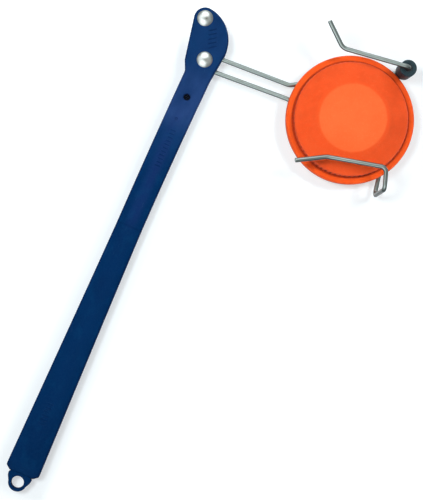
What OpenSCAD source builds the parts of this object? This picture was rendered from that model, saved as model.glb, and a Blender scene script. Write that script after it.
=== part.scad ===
// Hand-held clay target thrower: a long two-shell plastic handle with a forked
// head, a one-piece spring-wire throwing arm that pivots in the fork, a rubber
// roller on the arm, and the loaded clay target.
// Millimetres.  Origin: centre of the hang hole, on the handle's mid-plane.
// +Y runs up the handle to its head, +X points to the arm's cocked side and
// +Z points out of the handle's front face.

/* [Handle] */
// Distance from the hang hole up to the arm pivot
hole_to_pivot = 395.3; // [360:1:430]
// Sideways distance from the hang hole to the arm pivot
pivot_side = 1.5; // [0:0.5:3]
// Thickness of the handle over both shells
body_t = 15; // [14:0.5:18]
// Width of the handle just under the head
neck_w = 23.2; // [22.4:0.2:26]
// Width of the handle at its narrowest place
waist_w = 22.4; // [20.4:0.2:24]
// Width of the handle at its lower end
butt_w = 30; // [29:0.2:34]
// Distance from the pivot down to the narrowest place
waist_at = 156; // [120:1:200]
// Thickness of the shell walls
wall_t = 2.6; // [2:0.1:3.2]

/* [Head] */
// Distance from the pivot to the stop rivet, along the handle
stop_up = 32.4; // [31:0.1:36]
// Distance from the pivot to the stop rivet, across the handle
stop_side = 13.7; // [13:0.1:15]
// Radius of the tip of the head round the stop rivet
tip_r = 9.6; // [8.8:0.1:10.4]
// Distance from the pivot to the bulging edge of the head
head_side = 14.5; // [14:0.1:16]
// Width of the slot that the arm swings in
slot_w = 5; // [5:0.1:5.4]

/* [Rivets] */
// Diameter of the domed rivet heads
rivet_head_d = 13.8; // [12:0.2:15]
// Height of the domed rivet heads
rivet_head_h = 2.6; // [2:0.1:3.2]
// Diameter of the rivet shanks
rivet_d = 6.4; // [5:0.1:6.4]
// Diameter of the sleeves round the rivets, inside the slot
sleeve_d = 8.7; // [8.4:0.05:8.7]

/* [Throwing arm] */
// Diameter of the spring wire
wire_d = 3.8; // [3.4:0.05:3.8]
// Bend radius of the loop round the pivot, to the wire's centre line
loop_r = 6.3; // [6.3:0.05:6.4]
// Angle of the cocked arm above the +X direction
cocked_angle = 3.3; // [3:0.05:5]
// Height of the wires in front of the target above those behind it
cage_h = 36; // [35:0.5:42]
// How much further out the tips of the front wires stand
tip_rise = 7; // [2:0.5:10]

/* [Roller] */
// Diameter of the rubber roller
roller_d = 14.4; // [13:0.1:14.4]
// Length of the rubber roller
roller_len = 24.6; // [16:0.2:25]

/* [Clay target] */
// Largest diameter of the clay target
target_d = 110; // [104:1:110]
// Height of the clay target
target_h = 28.4; // [25:0.2:29]
// Diameter of the flat top of the clay target
target_flat_d = 57.6; // [50:0.2:62]

/* [Hang tab] */
// Diameter of the hang hole
hang_hole_d = 10.8; // [8:0.2:12]
// Thickness of the hang tab
tab_t = 6; // [4:0.2:8]

/* [Hidden] */

$fn = 64;
half_t = body_t / 2;
half_slot = slot_w / 2;
wire_r = wire_d / 2;
gap = 0.05;

// Places measured from the pivot: [across, along]
stop_at = [-stop_side, stop_up];
roller_at = [160.1, 59.6];
target_at = [134.3, 2.8];
screw_at = [-1, -35.4];

// Directions along the cocked arm, and square to it
arm_along = [cos(cocked_angle), sin(cocked_angle)];
arm_across = [-sin(cocked_angle), cos(cocked_angle)];

// Distance from the pivot to the foot of the slot, clear of the wire loop
slot_foot = loop_r + wire_r + gap;

// ---------------------------------------------------------------- helpers
function unit(v) = v / norm(v);
function mix(a, b, t) = a + (b - a) * t;
function clip(t) = min(1, max(0, t));
function arc_point(centre, r, angle) = centre + r * [cos(angle), sin(angle)];

// Moves what is drawn about the pivot into the part's own frame
module place() translate([pivot_side, hole_to_pivot, 0]) children();

// Moves children to a place [x, y], at height z
module at(spot, z = 0) translate([spot[0], spot[1], z]) children();

module ring(r_out, r_in, z, h) {
    translate([0, 0, z]) difference() {
        cylinder(r = r_out, h = h);
        translate([0, 0, -1]) cylinder(r = r_in, h = h + 2);
    }
}

// ---------------------------------------------------------------- handle outline
end_y = -hole_to_pivot + 7.6;   // lower end of the shells
end_cut_w = 4.2;                // cut across each lower corner
corner_y = end_y + 3.3;         // where those cuts start
throat_y = -15;                 // foot of the kink under the head
neck_at = 17;                   // from the pivot down to the full neck width

// Sideways shift of the grip's middle
neck_mid = -0.1;
waist_mid = -1.8;
butt_mid = -1.4;

// How far y lies from the waist towards the neck or the butt, 0 to 1
function neck_share(y) = pow(clip((waist_at + y) / (waist_at - neck_at)), 2);
function butt_share(y) = clip((-y - waist_at) / (-corner_y - waist_at));

function grip_w(y) = -y < waist_at
    ? mix(waist_w, neck_w, neck_share(y))
    : mix(waist_w, butt_w, pow(butt_share(y), 1.1));
function grip_mid(y) = -y < waist_at
    ? mix(waist_mid, neck_mid, neck_share(y))
    : mix(waist_mid, butt_mid, butt_share(y));
function grip_left(y, inset = 0) = grip_mid(y) - grip_w(y) / 2 + inset;
function grip_right(y, inset = 0) = grip_mid(y) + grip_w(y) / 2 - inset;

// The bulging edge of the head is an arc that blends into the tip's arc
bulge_y = 11.5;
bulge_r = (pow(head_side + stop_side, 2) + pow(stop_up - bulge_y, 2) - pow(tip_r, 2))
    / (2 * (head_side + stop_side - tip_r));
bulge_at = [head_side - bulge_r, bulge_y];
blend_angle = atan2(stop_up - bulge_y, -stop_side - bulge_at[0]);

// The straight edge on the other side leaves the tip's arc as a tangent
kink_at = [-15.7, -6.5];
kink_to_stop = stop_at - kink_at;
edge_angle = atan2(kink_to_stop[1], kink_to_stop[0]) + asin(tip_r / norm(kink_to_stop));

grip_n = 16;
arc_n = 14;
grip_ys = [for (i = [0:grip_n]) mix(throat_y, corner_y, i / grip_n)];

// Outline of the handle, anticlockwise from the lower right corner
outline_pts = concat(
    [for (i = [grip_n:-1:0]) [grip_right(grip_ys[i]), grip_ys[i]]],
    [for (i = [0:arc_n]) arc_point(bulge_at, bulge_r, blend_angle * i / arc_n)],
    [for (i = [1:arc_n]) arc_point(stop_at, tip_r, mix(blend_angle, edge_angle + 90, i / arc_n))],
    [kink_at, [grip_left(throat_y), throat_y]],
    [for (i = [1:grip_n]) [grip_left(grip_ys[i]), grip_ys[i]]],
    [[grip_left(corner_y, end_cut_w), end_y], [grip_right(corner_y, end_cut_w), end_y]]
);

// ---------------------------------------------------------------- shells
cavity_top = -47;
cavity_end = corner_y + 1.4;
pocket_n = 7;
half_rib = 0.8;
function rib_y(i) = mix(cavity_top, cavity_end, i / pocket_n);

// Posts on some of the cross ribs; pegs on the back shell enter the front one
post_ribs = [1, 3, 5];
post_r = 4.2;
peg_r = 2;
peg_root = 2;       // part of the peg sunk in the back shell's post
peg_reach = 2.4;    // part that stands out of it

tab_neck_half_w = 9;

screw_r = 1.5;
screw_head_r = 2.75;
screw_seat_z = 3;

// The space the arm swings through: open to the right and at the top, closed
// by a spine on the left and by the throat that the cocked arm rests in
module swing_slot() {
    spine_x = -19;
    open_y = 70;
    linear_extrude(slot_w, center = true) polygon([
        -slot_foot * arm_across,
        -slot_foot * arm_across + 40 * arm_along,
        [60, open_y],
        [spine_x, open_y],
        [spine_x, 27],
        [-slot_foot - 0.4, 3],
        [-slot_foot - 0.4, -1]
    ]);
    cylinder(r = slot_foot + 0.15, h = slot_w, center = true);
}

// Hollow of one shell: pockets between cross ribs, up to the face wall
module pockets() {
    for (i = [0:pocket_n - 1]) {
        upper_y = rib_y(i) - half_rib;
        lower_y = rib_y(i + 1) + half_rib;
        translate([0, 0, -1])
            linear_extrude(half_t - wall_t + 1)
                polygon([
                    [grip_left(upper_y, wall_t), upper_y],
                    [grip_left(lower_y, wall_t), lower_y],
                    [grip_right(lower_y, wall_t), lower_y],
                    [grip_right(upper_y, wall_t), upper_y]
                ]);
    }
}

// Cylinders at the posts' places
module at_posts(r, h) {
    for (i = post_ribs)
        translate([grip_mid(rib_y(i)), rib_y(i), 0]) cylinder(r = r, h = h);
}

// One hollow shell with its posts, lying in front of the mid-plane
module shell_blank() {
    difference() {
        linear_extrude(half_t) polygon(outline_pts);
        pockets();
    }
    at_posts(r = post_r, h = half_t - 1);
}

module rivet_bores() {
    for (spot = [[0, 0], stop_at])
        at(spot, -50) cylinder(d = rivet_d + 0.1, h = 100);
}

// Opening in the lower end wall for the neck of the hang tab
module tab_gate() {
    half_w = tab_neck_half_w + 0.1;
    translate([-pivot_side - half_w, end_y - 5, -tab_t / 2 - gap])
        cube([2 * half_w, 20, tab_t + 2 * gap]);
}

// Hole for the screw's shank, from z forwards
module screw_bore(z) {
    at(screw_at, z) cylinder(r = screw_r + gap, h = 20);
}

// What is cut from both shells
module shared_cuts() {
    swing_slot();
    rivet_bores();
    tab_gate();
}

module handle_front_shell() {
    color("#1d3f74") place() difference() {
        shell_blank();
        at_posts(r = peg_r + gap, h = 2.6);
        shared_cuts();
        screw_bore(-1);
        at(screw_at, screw_seat_z) cylinder(r = screw_head_r + 0.15, h = 20);
    }
}

module handle_back_shell() {
    color("#1b3b6d") place() union() {
        difference() {
            mirror([0, 0, 1]) shell_blank();
            shared_cuts();
            screw_bore(-5.4);
        }
        translate([0, 0, -peg_root]) at_posts(r = peg_r, h = peg_root + peg_reach);
    }
}

// ---------------------------------------------------------------- hang tab
// Outline from the eye's left side round its foot, then up the right side,
// along the anchor bar inside the shells, and down the left side
tab_pts = concat(
    [for (i = [0:12]) arc_point([0, 0], 8.1, -170 + 160 * i / 12)],
    [
        [10.2, 3], [10.6, 5.4], [tab_neck_half_w, 7.5], [tab_neck_half_w, 13.3],
        [11.2, 13.3], [11.2, 18.2], [-11.2, 18.2], [-11.2, 13.3],
        [-tab_neck_half_w, 13.3], [-tab_neck_half_w, 7.5], [-10.8, 5.4], [-10.3, 3]
    ]
);

module hang_tab() {
    color("#1a3865") difference() {
        linear_extrude(tab_t, center = true) polygon(tab_pts);
        cylinder(d = hang_hole_d, h = 60, center = true);
    }
}

// Cross-recessed screw, its head sunk in the front shell
module neck_screw() {
    recess_l = 3.4;
    recess_w = 0.8;
    color("#24262a") place() at(screw_at) difference() {
        union() {
            translate([0, 0, -5.2]) cylinder(r = screw_r, h = 9);
            translate([0, 0, screw_seat_z]) cylinder(r = screw_head_r, h = 1.8);
        }
        for (angle = [0, 90])
            rotate(angle)
                translate([-recess_l / 2, -recess_w / 2, screw_seat_z + 0.9])
                    cube([recess_l, recess_w, 3]);
    }
}

// ---------------------------------------------------------------- rivets
dome_r = (pow(rivet_head_d / 2, 2) + pow(rivet_head_h, 2)) / (2 * rivet_head_h);
washer_t = 1;
washer_z = -half_t - washer_t;  // back face of the tail washers
roll_h = 1.3;

// One rivet: domed head in front, shank through both shells, rolled tail behind
module rivet() {
    difference() {
        union() {
            intersection() {
                translate([0, 0, half_t + rivet_head_h - dome_r]) sphere(r = dome_r, $fn = 96);
                translate([0, 0, half_t]) cylinder(d = rivet_head_d - 0.1, h = 10);
            }
            translate([0, 0, washer_z - 0.5]) cylinder(d = rivet_d, h = body_t + washer_t + 1);
            translate([0, 0, washer_z - roll_h]) cylinder(r1 = 3.7, r2 = 4.7, h = roll_h);
        }
        translate([0, 0, washer_z - 2]) cylinder(r = 1.8, h = 4);
    }
}

module tail_washer() {
    ring(r_out = 6.6, r_in = rivet_d / 2 + gap, z = washer_z, h = washer_t);
}

module sleeve() {
    ring(r_out = sleeve_d / 2, r_in = rivet_d / 2 + gap, z = -half_slot + 0.01, h = slot_w - 0.02);
}

// Thin nylon washer that keeps the wire loop off the front cheek
module thrust_washer() {
    ring(
        r_out = slot_foot - 0.15, r_in = sleeve_d / 2 + gap,
        z = wire_r + gap, h = half_slot - wire_r - 2 * gap
    );
}

module pivot_rivet() { color("#c9c8c2") place() rivet(); }
module stop_rivet() { color("#c9c8c2") place() at(stop_at) rivet(); }

module pivot_tail_washer() { color("#b4b5b2") place() tail_washer(); }
module stop_tail_washer() { color("#b4b5b2") place() at(stop_at) tail_washer(); }

module pivot_sleeve() { color("#8f9192") place() sleeve(); }
module stop_sleeve() { color("#8f9192") place() at(stop_at) sleeve(); }

module front_thrust_washer() { color("#e8e6dc") place() thrust_washer(); }
module back_thrust_washer() { color("#e8e6dc") place() mirror([0, 0, 1]) thrust_washer(); }

// ---------------------------------------------------------------- arm wire
// Arc of radius r that rounds the corner of the path before-corner-after
function corner_arc(before, corner, after, r) =
    let (
        back = unit(before - corner),
        ahead = unit(after - corner),
        turn = 180 - acos(back * ahead),
        centre = corner + unit(back + ahead) * r / cos(turn / 2),
        outward = unit(corner + back * r * tan(turn / 2) - centre),
        steps = max(2, ceil(turn / 13))
    )
    [for (k = [0:steps])
        centre + r * (outward * cos(turn * k / steps) - back * sin(turn * k / steps))];

// Points along a path of [corner point, bend radius], with its corners rounded
function rounded(path) = [
    for (i = [0:len(path) - 1])
        each (i == 0 || i == len(path) - 1)
            ? [path[i][0]]
            : corner_arc(path[i - 1][0], path[i][0], path[i + 1][0], path[i][1])
];

function tangent(p, i) =
    i == 0 ? unit(p[1] - p[0]) :
    i == len(p) - 1 ? unit(p[i] - p[i - 1]) :
    unit(unit(p[i] - p[i - 1]) + unit(p[i + 1] - p[i]));
function square_to(v, along) = unit(v - (v * along) * along);

// Round bar of radius r along the points of path, carried without twist
module bar(path, r, sides = 16) {
    count = len(path);
    tangents = [for (i = [0:count - 1]) tangent(path, i)];
    normals = [
        for (i = 0, normal = square_to([0.31, 0.22, 0.92], tangents[0]);
             i < count;
             i = i + 1, normal = square_to(normal, tangents[min(i, count - 1)]))
            normal
    ];
    points = [
        for (i = [0:count - 1]) for (j = [0:sides - 1])
            let (angle = 360 * j / sides)
            path[i] + r * (normals[i] * cos(angle) + cross(tangents[i], normals[i]) * sin(angle))
    ];
    faces = concat(
        [[for (j = [0:sides - 1]) j]],
        [for (i = [0:count - 2]) for (j = [0:sides - 1])
            let (this = i * sides, next = this + sides, k = (j + 1) % sides)
            [this + j, next + j, next + k, this + k]],
        [[for (j = [sides - 1:-1:0]) (count - 1) * sides + j]]
    );
    polyhedron(points = points, faces = faces, convexity = 8);
}

function raised(v, z) = [v[0], v[1], z];
bar_r = wire_r - 0.02;
loop_bend = loop_r - 0.1;   // short of loop_r, so that the loop's two arcs don't meet
bar_overrun = 8;            // how far the bars run into the roller
core_z = 6;                 // where the straight core in the roller starts

// Front wire on the roller side, from its tip to inside the roller:
// [corner point, bend radius]
upper_front = [
    [[83.1, 66.4, cage_h + tip_rise], 0],
    [[102.5, 51.5, cage_h], 9],
    [raised(roller_at, cage_h), 4.5],
    [raised(roller_at, cage_h - bar_overrun), 0]
];

// From inside the roller, behind the target, round the pivot and back, forwards
// at the far ear and along the other front wire to its tip:
// [corner point, bend radius]
lower_run = [
    [raised(roller_at, bar_overrun), 0],
    [raised(roller_at, 0), 4.5],
    [[75.15, 10.2, 0], 9],
    [raised(loop_r * (arm_across - arm_along), 0), loop_bend],
    [raised(-loop_r * (arm_across + arm_along), 0), loop_bend],
    [[78.5, -1.25, 0], 9],
    [[175.8, -22.5, 0], 7],
    [[180.7, -47.4, 0], 5],
    [[181.8, -42.1, cage_h], 5],
    [[175.8, -24.6, cage_h], 5],
    [[126.8, -36.5, cage_h], 12],
    [[103.4, -50.4, cage_h + tip_rise * 0.6], 0]
];

module throw_arm() {
    color("#aeb4b3") place() union() {
        bar(rounded(upper_front), bar_r);
        bar(rounded(lower_run), bar_r);
        at(roller_at, core_z) cylinder(r = wire_r, h = cage_h - 2 * core_z);
    }
}

// ---------------------------------------------------------------- roller
roller_z = 5.3;
roller_bore_r = 3.1;
bush_overhang = 0.2;

module rubber_roller() {
    r = roller_d / 2;
    chamfer = 0.7;
    color("#2a2d30") place() at(roller_at, roller_z)
        rotate_extrude() polygon([
            [roller_bore_r, 0], [r - chamfer, 0], [r, chamfer],
            [r, roller_len - chamfer], [r - chamfer, roller_len], [roller_bore_r, roller_len]
        ]);
}

module roller_bush() {
    color("#1c1d1f") place() at(roller_at) ring(
        r_out = roller_bore_r - 0.02, r_in = wire_r + gap,
        z = roller_z - bush_overhang, h = roller_len + 2 * bush_overhang
    );
}

// ---------------------------------------------------------------- target
// Moulded shell: rim band, stepped ring, sloping shoulder and a low flat dome
module clay_target() {
    r = target_d / 2;
    flat_r = target_flat_d / 2;
    h = target_h;
    // Half section [radius, height]: up the outside, then down the inside
    section = [
        [r - 0.6, 0], [r, 1.6], [r, 6.8], [r - 0.9, 8.3], [r - 5.6, 9.4], [r - 6.2, 9],
        [r - 6.8, h - 12], [r - 8, h - 10.8], [flat_r + 0.8, h - 1.1], [flat_r - 0.6, h - 0.4],
        [0, h],
        [0, h - 3.4], [flat_r - 2.2, h - 3.9], [r - 10.6, h - 13.6], [r - 9.8, 5.4],
        [r - 5, 3.2], [r - 4.2, 0]
    ];
    color("#ff7037") place() at(target_at, wire_r + 0.1)
        rotate_extrude($fn = 128) polygon(section);
}

handle_front_shell();
handle_back_shell();
hang_tab();
neck_screw();
pivot_rivet();
pivot_tail_washer();
pivot_sleeve();
front_thrust_washer();
back_thrust_washer();
stop_rivet();
stop_tail_washer();
stop_sleeve();
throw_arm();
rubber_roller();
roller_bush();
clay_target();
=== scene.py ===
import bpy
import bmesh
import math
import random
import numpy as np
from mathutils import Matrix, Vector

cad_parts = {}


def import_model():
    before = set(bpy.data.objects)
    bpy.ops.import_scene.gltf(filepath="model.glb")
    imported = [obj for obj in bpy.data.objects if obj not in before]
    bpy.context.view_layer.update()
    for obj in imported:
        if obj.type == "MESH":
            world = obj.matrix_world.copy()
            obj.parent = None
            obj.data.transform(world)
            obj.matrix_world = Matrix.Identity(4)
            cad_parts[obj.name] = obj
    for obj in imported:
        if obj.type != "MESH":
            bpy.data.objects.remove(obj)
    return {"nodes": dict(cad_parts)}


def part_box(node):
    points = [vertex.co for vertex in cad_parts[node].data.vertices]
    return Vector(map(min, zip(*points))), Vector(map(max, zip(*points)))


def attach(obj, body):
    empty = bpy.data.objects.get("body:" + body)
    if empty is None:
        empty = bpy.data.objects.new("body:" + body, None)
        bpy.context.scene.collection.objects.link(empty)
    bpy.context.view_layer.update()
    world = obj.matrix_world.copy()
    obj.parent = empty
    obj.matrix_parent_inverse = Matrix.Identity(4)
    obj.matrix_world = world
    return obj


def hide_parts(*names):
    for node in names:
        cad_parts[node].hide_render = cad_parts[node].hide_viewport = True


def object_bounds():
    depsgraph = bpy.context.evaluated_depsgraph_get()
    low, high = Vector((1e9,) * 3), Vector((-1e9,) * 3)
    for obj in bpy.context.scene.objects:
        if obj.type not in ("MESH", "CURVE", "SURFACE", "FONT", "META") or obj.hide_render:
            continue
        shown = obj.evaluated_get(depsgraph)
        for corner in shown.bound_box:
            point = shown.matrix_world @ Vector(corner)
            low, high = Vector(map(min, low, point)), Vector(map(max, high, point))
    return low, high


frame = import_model()
cad_lo, cad_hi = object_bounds()
random.seed(11)
scene = bpy.context.scene
MM = 0.001      # meshes are worked out in mm; shaders and the stage are in metres


# ------------------------------------------------------------------ places, in mm
def box_mm(node):
    lo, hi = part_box(node)
    return np.array(lo) / MM, np.array(hi) / MM


def centre(node):
    lo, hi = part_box(node)
    return (np.array(lo) + np.array(hi)) / 2 / MM


def half_size(node):
    lo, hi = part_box(node)
    return (np.array(hi) - np.array(lo)) / 2 / MM


def z_span(node):
    lo, hi = box_mm(node)
    return lo[2], hi[2]


PIVOT = centre("pivot_rivet")[:2]
PIVOT_X, PIVOT_Y = PIVOT
STOP_X, STOP_Y = centre("stop_rivet")[:2]
TARGET_X, TARGET_Y = centre("clay_target")[:2]
SCREW_X, SCREW_Y = centre("neck_screw")[:2]
ROLLER_X, ROLLER_Y = centre("roller_bush")[:2]
# seen from the pivot, as all of the handle and the arm are drawn
STOP = np.array([STOP_X, STOP_Y]) - PIVOT
ROLLER = np.array([ROLLER_X, ROLLER_Y]) - PIVOT
SHELL_LO, SHELL_HI = box_mm("handle_front_shell")
HALF_T = SHELL_HI[2]        # half the handle's thickness

# in-plane turn of the camera about Z, as a cosine and a sine
TURN_COS, TURN_SIN = 0.9151, 0.4031
VIEW_RIGHT = Vector((TURN_COS, TURN_SIN, 0.0))
VIEW_UP = Vector((-TURN_SIN, TURN_COS, 0.0))
VIEW_DOWN = (TURN_SIN, -TURN_COS, 0.0)


# ------------------------------------------------------------------ paths
def unit(v):
    return v / np.linalg.norm(v)


def mix(a, b, t):
    return a + (b - a) * t


def clip(t):
    return min(1.0, max(0.0, t))


def smooth(t):
    t = clip(t)
    return t * t * (3 - 2 * t)


def angle_between(u, w):
    return math.acos(max(-1, min(1, float(u @ w))))


def on_circle(middle, radius, angle):
    return middle + radius * np.array([math.cos(angle), math.sin(angle)])


def arc(middle, radius, start, end, steps):
    middle = np.array(middle, float)
    return [on_circle(middle, radius, mix(start, end, i / steps)) for i in range(steps + 1)]


def left_of(tangents):
    """The normals to the left of 2-D tangents: inward on an anticlockwise loop."""
    return np.stack([-tangents[:, 1], tangents[:, 0]], 1)


def round_path(points, radii, step=9.0, closed=False):
    """Rounds the corners of a 2-D or 3-D path, with an arc point every step degrees or less."""
    points = [np.array(p, float) for p in points]
    count = len(points)
    out = []
    for i, corner in enumerate(points):
        radius = radii[i]
        if (not closed and i in (0, count - 1)) or radius <= 0:
            out.append(corner)
            continue
        back = unit(points[i - 1] - corner)
        ahead = unit(points[(i + 1) % count] - corner)
        turn = math.pi - angle_between(back, ahead)
        if turn < 1e-3:
            out.append(corner)
            continue
        middle = corner + unit(back + ahead) * radius / math.cos(turn / 2)
        first = unit(corner + back * radius * math.tan(turn / 2) - middle)
        steps = max(2, int(math.ceil(math.degrees(turn) / step)))
        for s in range(steps + 1):
            t = turn * s / steps
            out.append(middle + radius * (first * math.cos(t) - back * math.sin(t)))
    return out


def round_table(rows, step=9.0, closed=False):
    """round_path for rows that hold a point and then its radius."""
    table = np.array(rows, float)
    return round_path(table[:, :-1], table[:, -1], step, closed)


def dense(points, step=0.25):
    """Adds points along the straights, about step mm apart."""
    out = [np.array(points[0], float)]
    for a, b in zip(points[:-1], points[1:]):
        a, b = np.array(a, float), np.array(b, float)
        pieces = max(1, int(np.linalg.norm(b - a) / step))
        out += [mix(a, b, s / pieces) for s in range(1, pieces + 1)]
    return out


def resample(points, count, turn_cost=3.5):
    """count + 1 points along a path, closer together where it turns."""
    points = [np.array(p, float) for p in points]
    cost = [0.0]
    for i in range(1, len(points)):
        into = points[i] - points[i - 1]
        c = np.linalg.norm(into)
        if i < len(points) - 1:
            away = points[i + 1] - points[i]
            if c > 1e-9 and np.linalg.norm(away) > 1e-9:
                c += turn_cost * angle_between(unit(into), unit(away))
        cost.append(cost[-1] + c)
    xs, ys = np.array(points).T
    stations = np.linspace(0, cost[-1], count + 1)
    return [np.array([np.interp(s, cost, xs), np.interp(s, cost, ys)]) for s in stations]


# ------------------------------------------------------------------ meshes
def shade(ob, angle=32.0):
    """Smooth except where faces meet more sharply than angle degrees."""
    me = ob.data
    bm = bmesh.new()
    bm.from_mesh(me)
    bmesh.ops.recalc_face_normals(bm, faces=bm.faces)
    for f in bm.faces:
        f.smooth = True
    bm.to_mesh(me)
    bm.free()
    me.set_sharp_from_angle(angle=math.radians(angle))
    me.update()


def mesh_object(name, verts, faces, lay=None, angle=32.0):
    """A mesh object from points in mm. lay is a vector per point for the materials."""
    me = bpy.data.meshes.new(name)
    me.from_pydata([tuple(float(c) * MM for c in v) for v in verts], [], faces)
    me.validate()
    if lay is not None:
        attribute = me.attributes.new("lay", "FLOAT_VECTOR", "POINT")
        attribute.data.foreach_set("vector", np.asarray(lay, float).ravel())
    ob = bpy.data.objects.new(name, me)
    scene.collection.objects.link(ob)
    shade(ob, angle)
    return ob


def carve(ob, cutters):
    """Cuts the cutters out of ob and keeps the result as its mesh."""
    for cutter in cutters:
        cut = ob.modifiers.new("cut", "BOOLEAN")
        cut.operation = "DIFFERENCE"
        cut.solver = "EXACT"
        cut.object = cutter
    graph = bpy.context.evaluated_depsgraph_get()
    graph.update()
    me = bpy.data.meshes.new_from_object(ob.evaluated_get(graph))
    ob.modifiers.clear()
    old = ob.data
    ob.data = me
    me.name = old.name
    bpy.data.meshes.remove(old)
    for cutter in cutters:
        bpy.data.objects.remove(cutter)
    shade(ob)


def join(main, others):
    """Adds the meshes of others to main's mesh."""
    bm = bmesh.new()
    bm.from_mesh(main.data)
    for other in others:
        bm.from_mesh(other.data)
        bpy.data.objects.remove(other)
    bm.to_mesh(main.data)
    bm.free()
    shade(main)


def ring_edges(ring):
    return zip(ring, [*ring[1:], ring[0]])


def band(low, high):
    """Quads between two rings of vertex numbers."""
    return [[a, b, d, c] for (a, b), (c, d) in zip(ring_edges(low), ring_edges(high))]


def stack_faces(rings, count):
    """Faces of a stack of rings of count points each, capped at both ends."""
    ids = [list(range(k * count, (k + 1) * count)) for k in range(rings)]
    faces = [ids[0][::-1], ids[-1]]
    for low, high in zip(ids, ids[1:]):
        faces += band(low, high)
    return faces


def prism(name, outline, z0, z1):
    verts = [(p[0], p[1], z) for z in (z0, z1) for p in outline]
    return mesh_object(name, verts, stack_faces(2, len(outline)))


def lathe(name, profile, seg, at, closed=False, wave=None, angle=32.0):
    """A turned piece from (r, z) points in mm. Points at r 0 become single vertices.
    wave(r, z, turn) is added to the radius. lay is (cos, sin, radius in m)."""
    verts, lay, rings = [], [], []
    for r, z in profile:
        start = len(verts)
        if r < 1e-6:
            verts.append((at[0], at[1], at[2] + z))
            lay.append((0, 0, z * MM))
        else:
            for j in range(seg):
                turn = 2 * math.pi * j / seg
                cos, sin = math.cos(turn), math.sin(turn)
                radius = r + (wave(r, z, turn) if wave else 0.0)
                verts.append((at[0] + radius * cos, at[1] + radius * sin, at[2] + z))
                lay.append((cos, sin, radius * MM))
        rings.append(range(start, len(verts)))
    pairs = list(zip(rings, rings[1:]))
    if closed:
        pairs.append((rings[-1], rings[0]))
    faces = []
    for low, high in pairs:
        if len(low) == 1:
            faces += [[low[0], b, a] for a, b in ring_edges(high)]
        elif len(high) == 1:
            faces += [[a, b, high[0]] for a, b in ring_edges(low)]
        else:
            faces += band(low, high)
    return mesh_object(name, verts, faces, lay, angle)


# ------------------------------------------------------------------ shader nodes
def srgb(*channels):
    """A linear colour from sRGB channels of 0 to 255."""
    def linear(c):
        c = c / 255.0
        return c / 12.92 if c <= 0.04045 else ((c + 0.055) / 1.055) ** 2.4
    return (*map(linear, channels), 1.0)


class Nodes:
    """Short ways to add nodes to the tree of a material or a world."""

    def __init__(self, owner):
        owner.use_nodes = True
        self.tree = owner.node_tree
        self.tree.nodes.clear()

    def put(self, socket, value):
        """Links value to a socket, or stores it there if it is a plain value."""
        if isinstance(value, bpy.types.NodeSocket):
            self.tree.links.new(value, socket)
        else:
            socket.default_value = value

    def new(self, kind, *values, **settings):
        """A node with these settings, and values put in its first inputs."""
        node = self.tree.nodes.new("ShaderNode" + kind)
        for name, value in settings.items():
            setattr(node, name, value)
        for socket, value in zip(node.inputs, values):
            self.put(socket, value)
        return node

    def fill(self, node, **inputs):
        """Puts values in a node's inputs by name."""
        for name, value in inputs.items():
            self.put(node.inputs[name.replace("_", " ")], value)
        return node

    def split(self, vector):
        return self.new("SeparateXYZ", vector).outputs

    def dot(self, a, b):
        return self.new("VectorMath", a, b, operation="DOT_PRODUCT").outputs["Value"]

    def math(self, operation, *values):
        return self.new("Math", *values, operation=operation).outputs[0]

    def mul(self, a, b):
        return self.math("MULTIPLY", a, b)

    def add(self, a, b):
        return self.math("ADD", a, b)

    def abs(self, value):
        return self.math("ABSOLUTE", value)

    def away(self, value, middle):
        return self.abs(self.math("SUBTRACT", value, middle))

    def hypot(self, x, y):
        return self.math("SQRT", self.add(self.mul(x, x), self.mul(y, y)))

    def span(self, value, of, to=(0.0, 1.0), kind="LINEAR"):
        """Maps the range of onto the range to, and clamps."""
        return self.new("MapRange", value, *of, *to, interpolation_type=kind).outputs[0]

    def ease(self, value, of, to=(0.0, 1.0)):
        """span with soft ends."""
        return self.span(value, of, to, "SMOOTHSTEP")

    def mix(self, by, a, b):
        node = self.new("Mix", by, data_type="RGBA", blend_type="MIX")
        self.put(node.inputs[6], a)
        self.put(node.inputs[7], b)
        return node.outputs[2]

    def mix_shader(self, by, a, b):
        return self.new("MixShader", by, a.outputs[0], b.outputs[0]).outputs[0]


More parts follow.
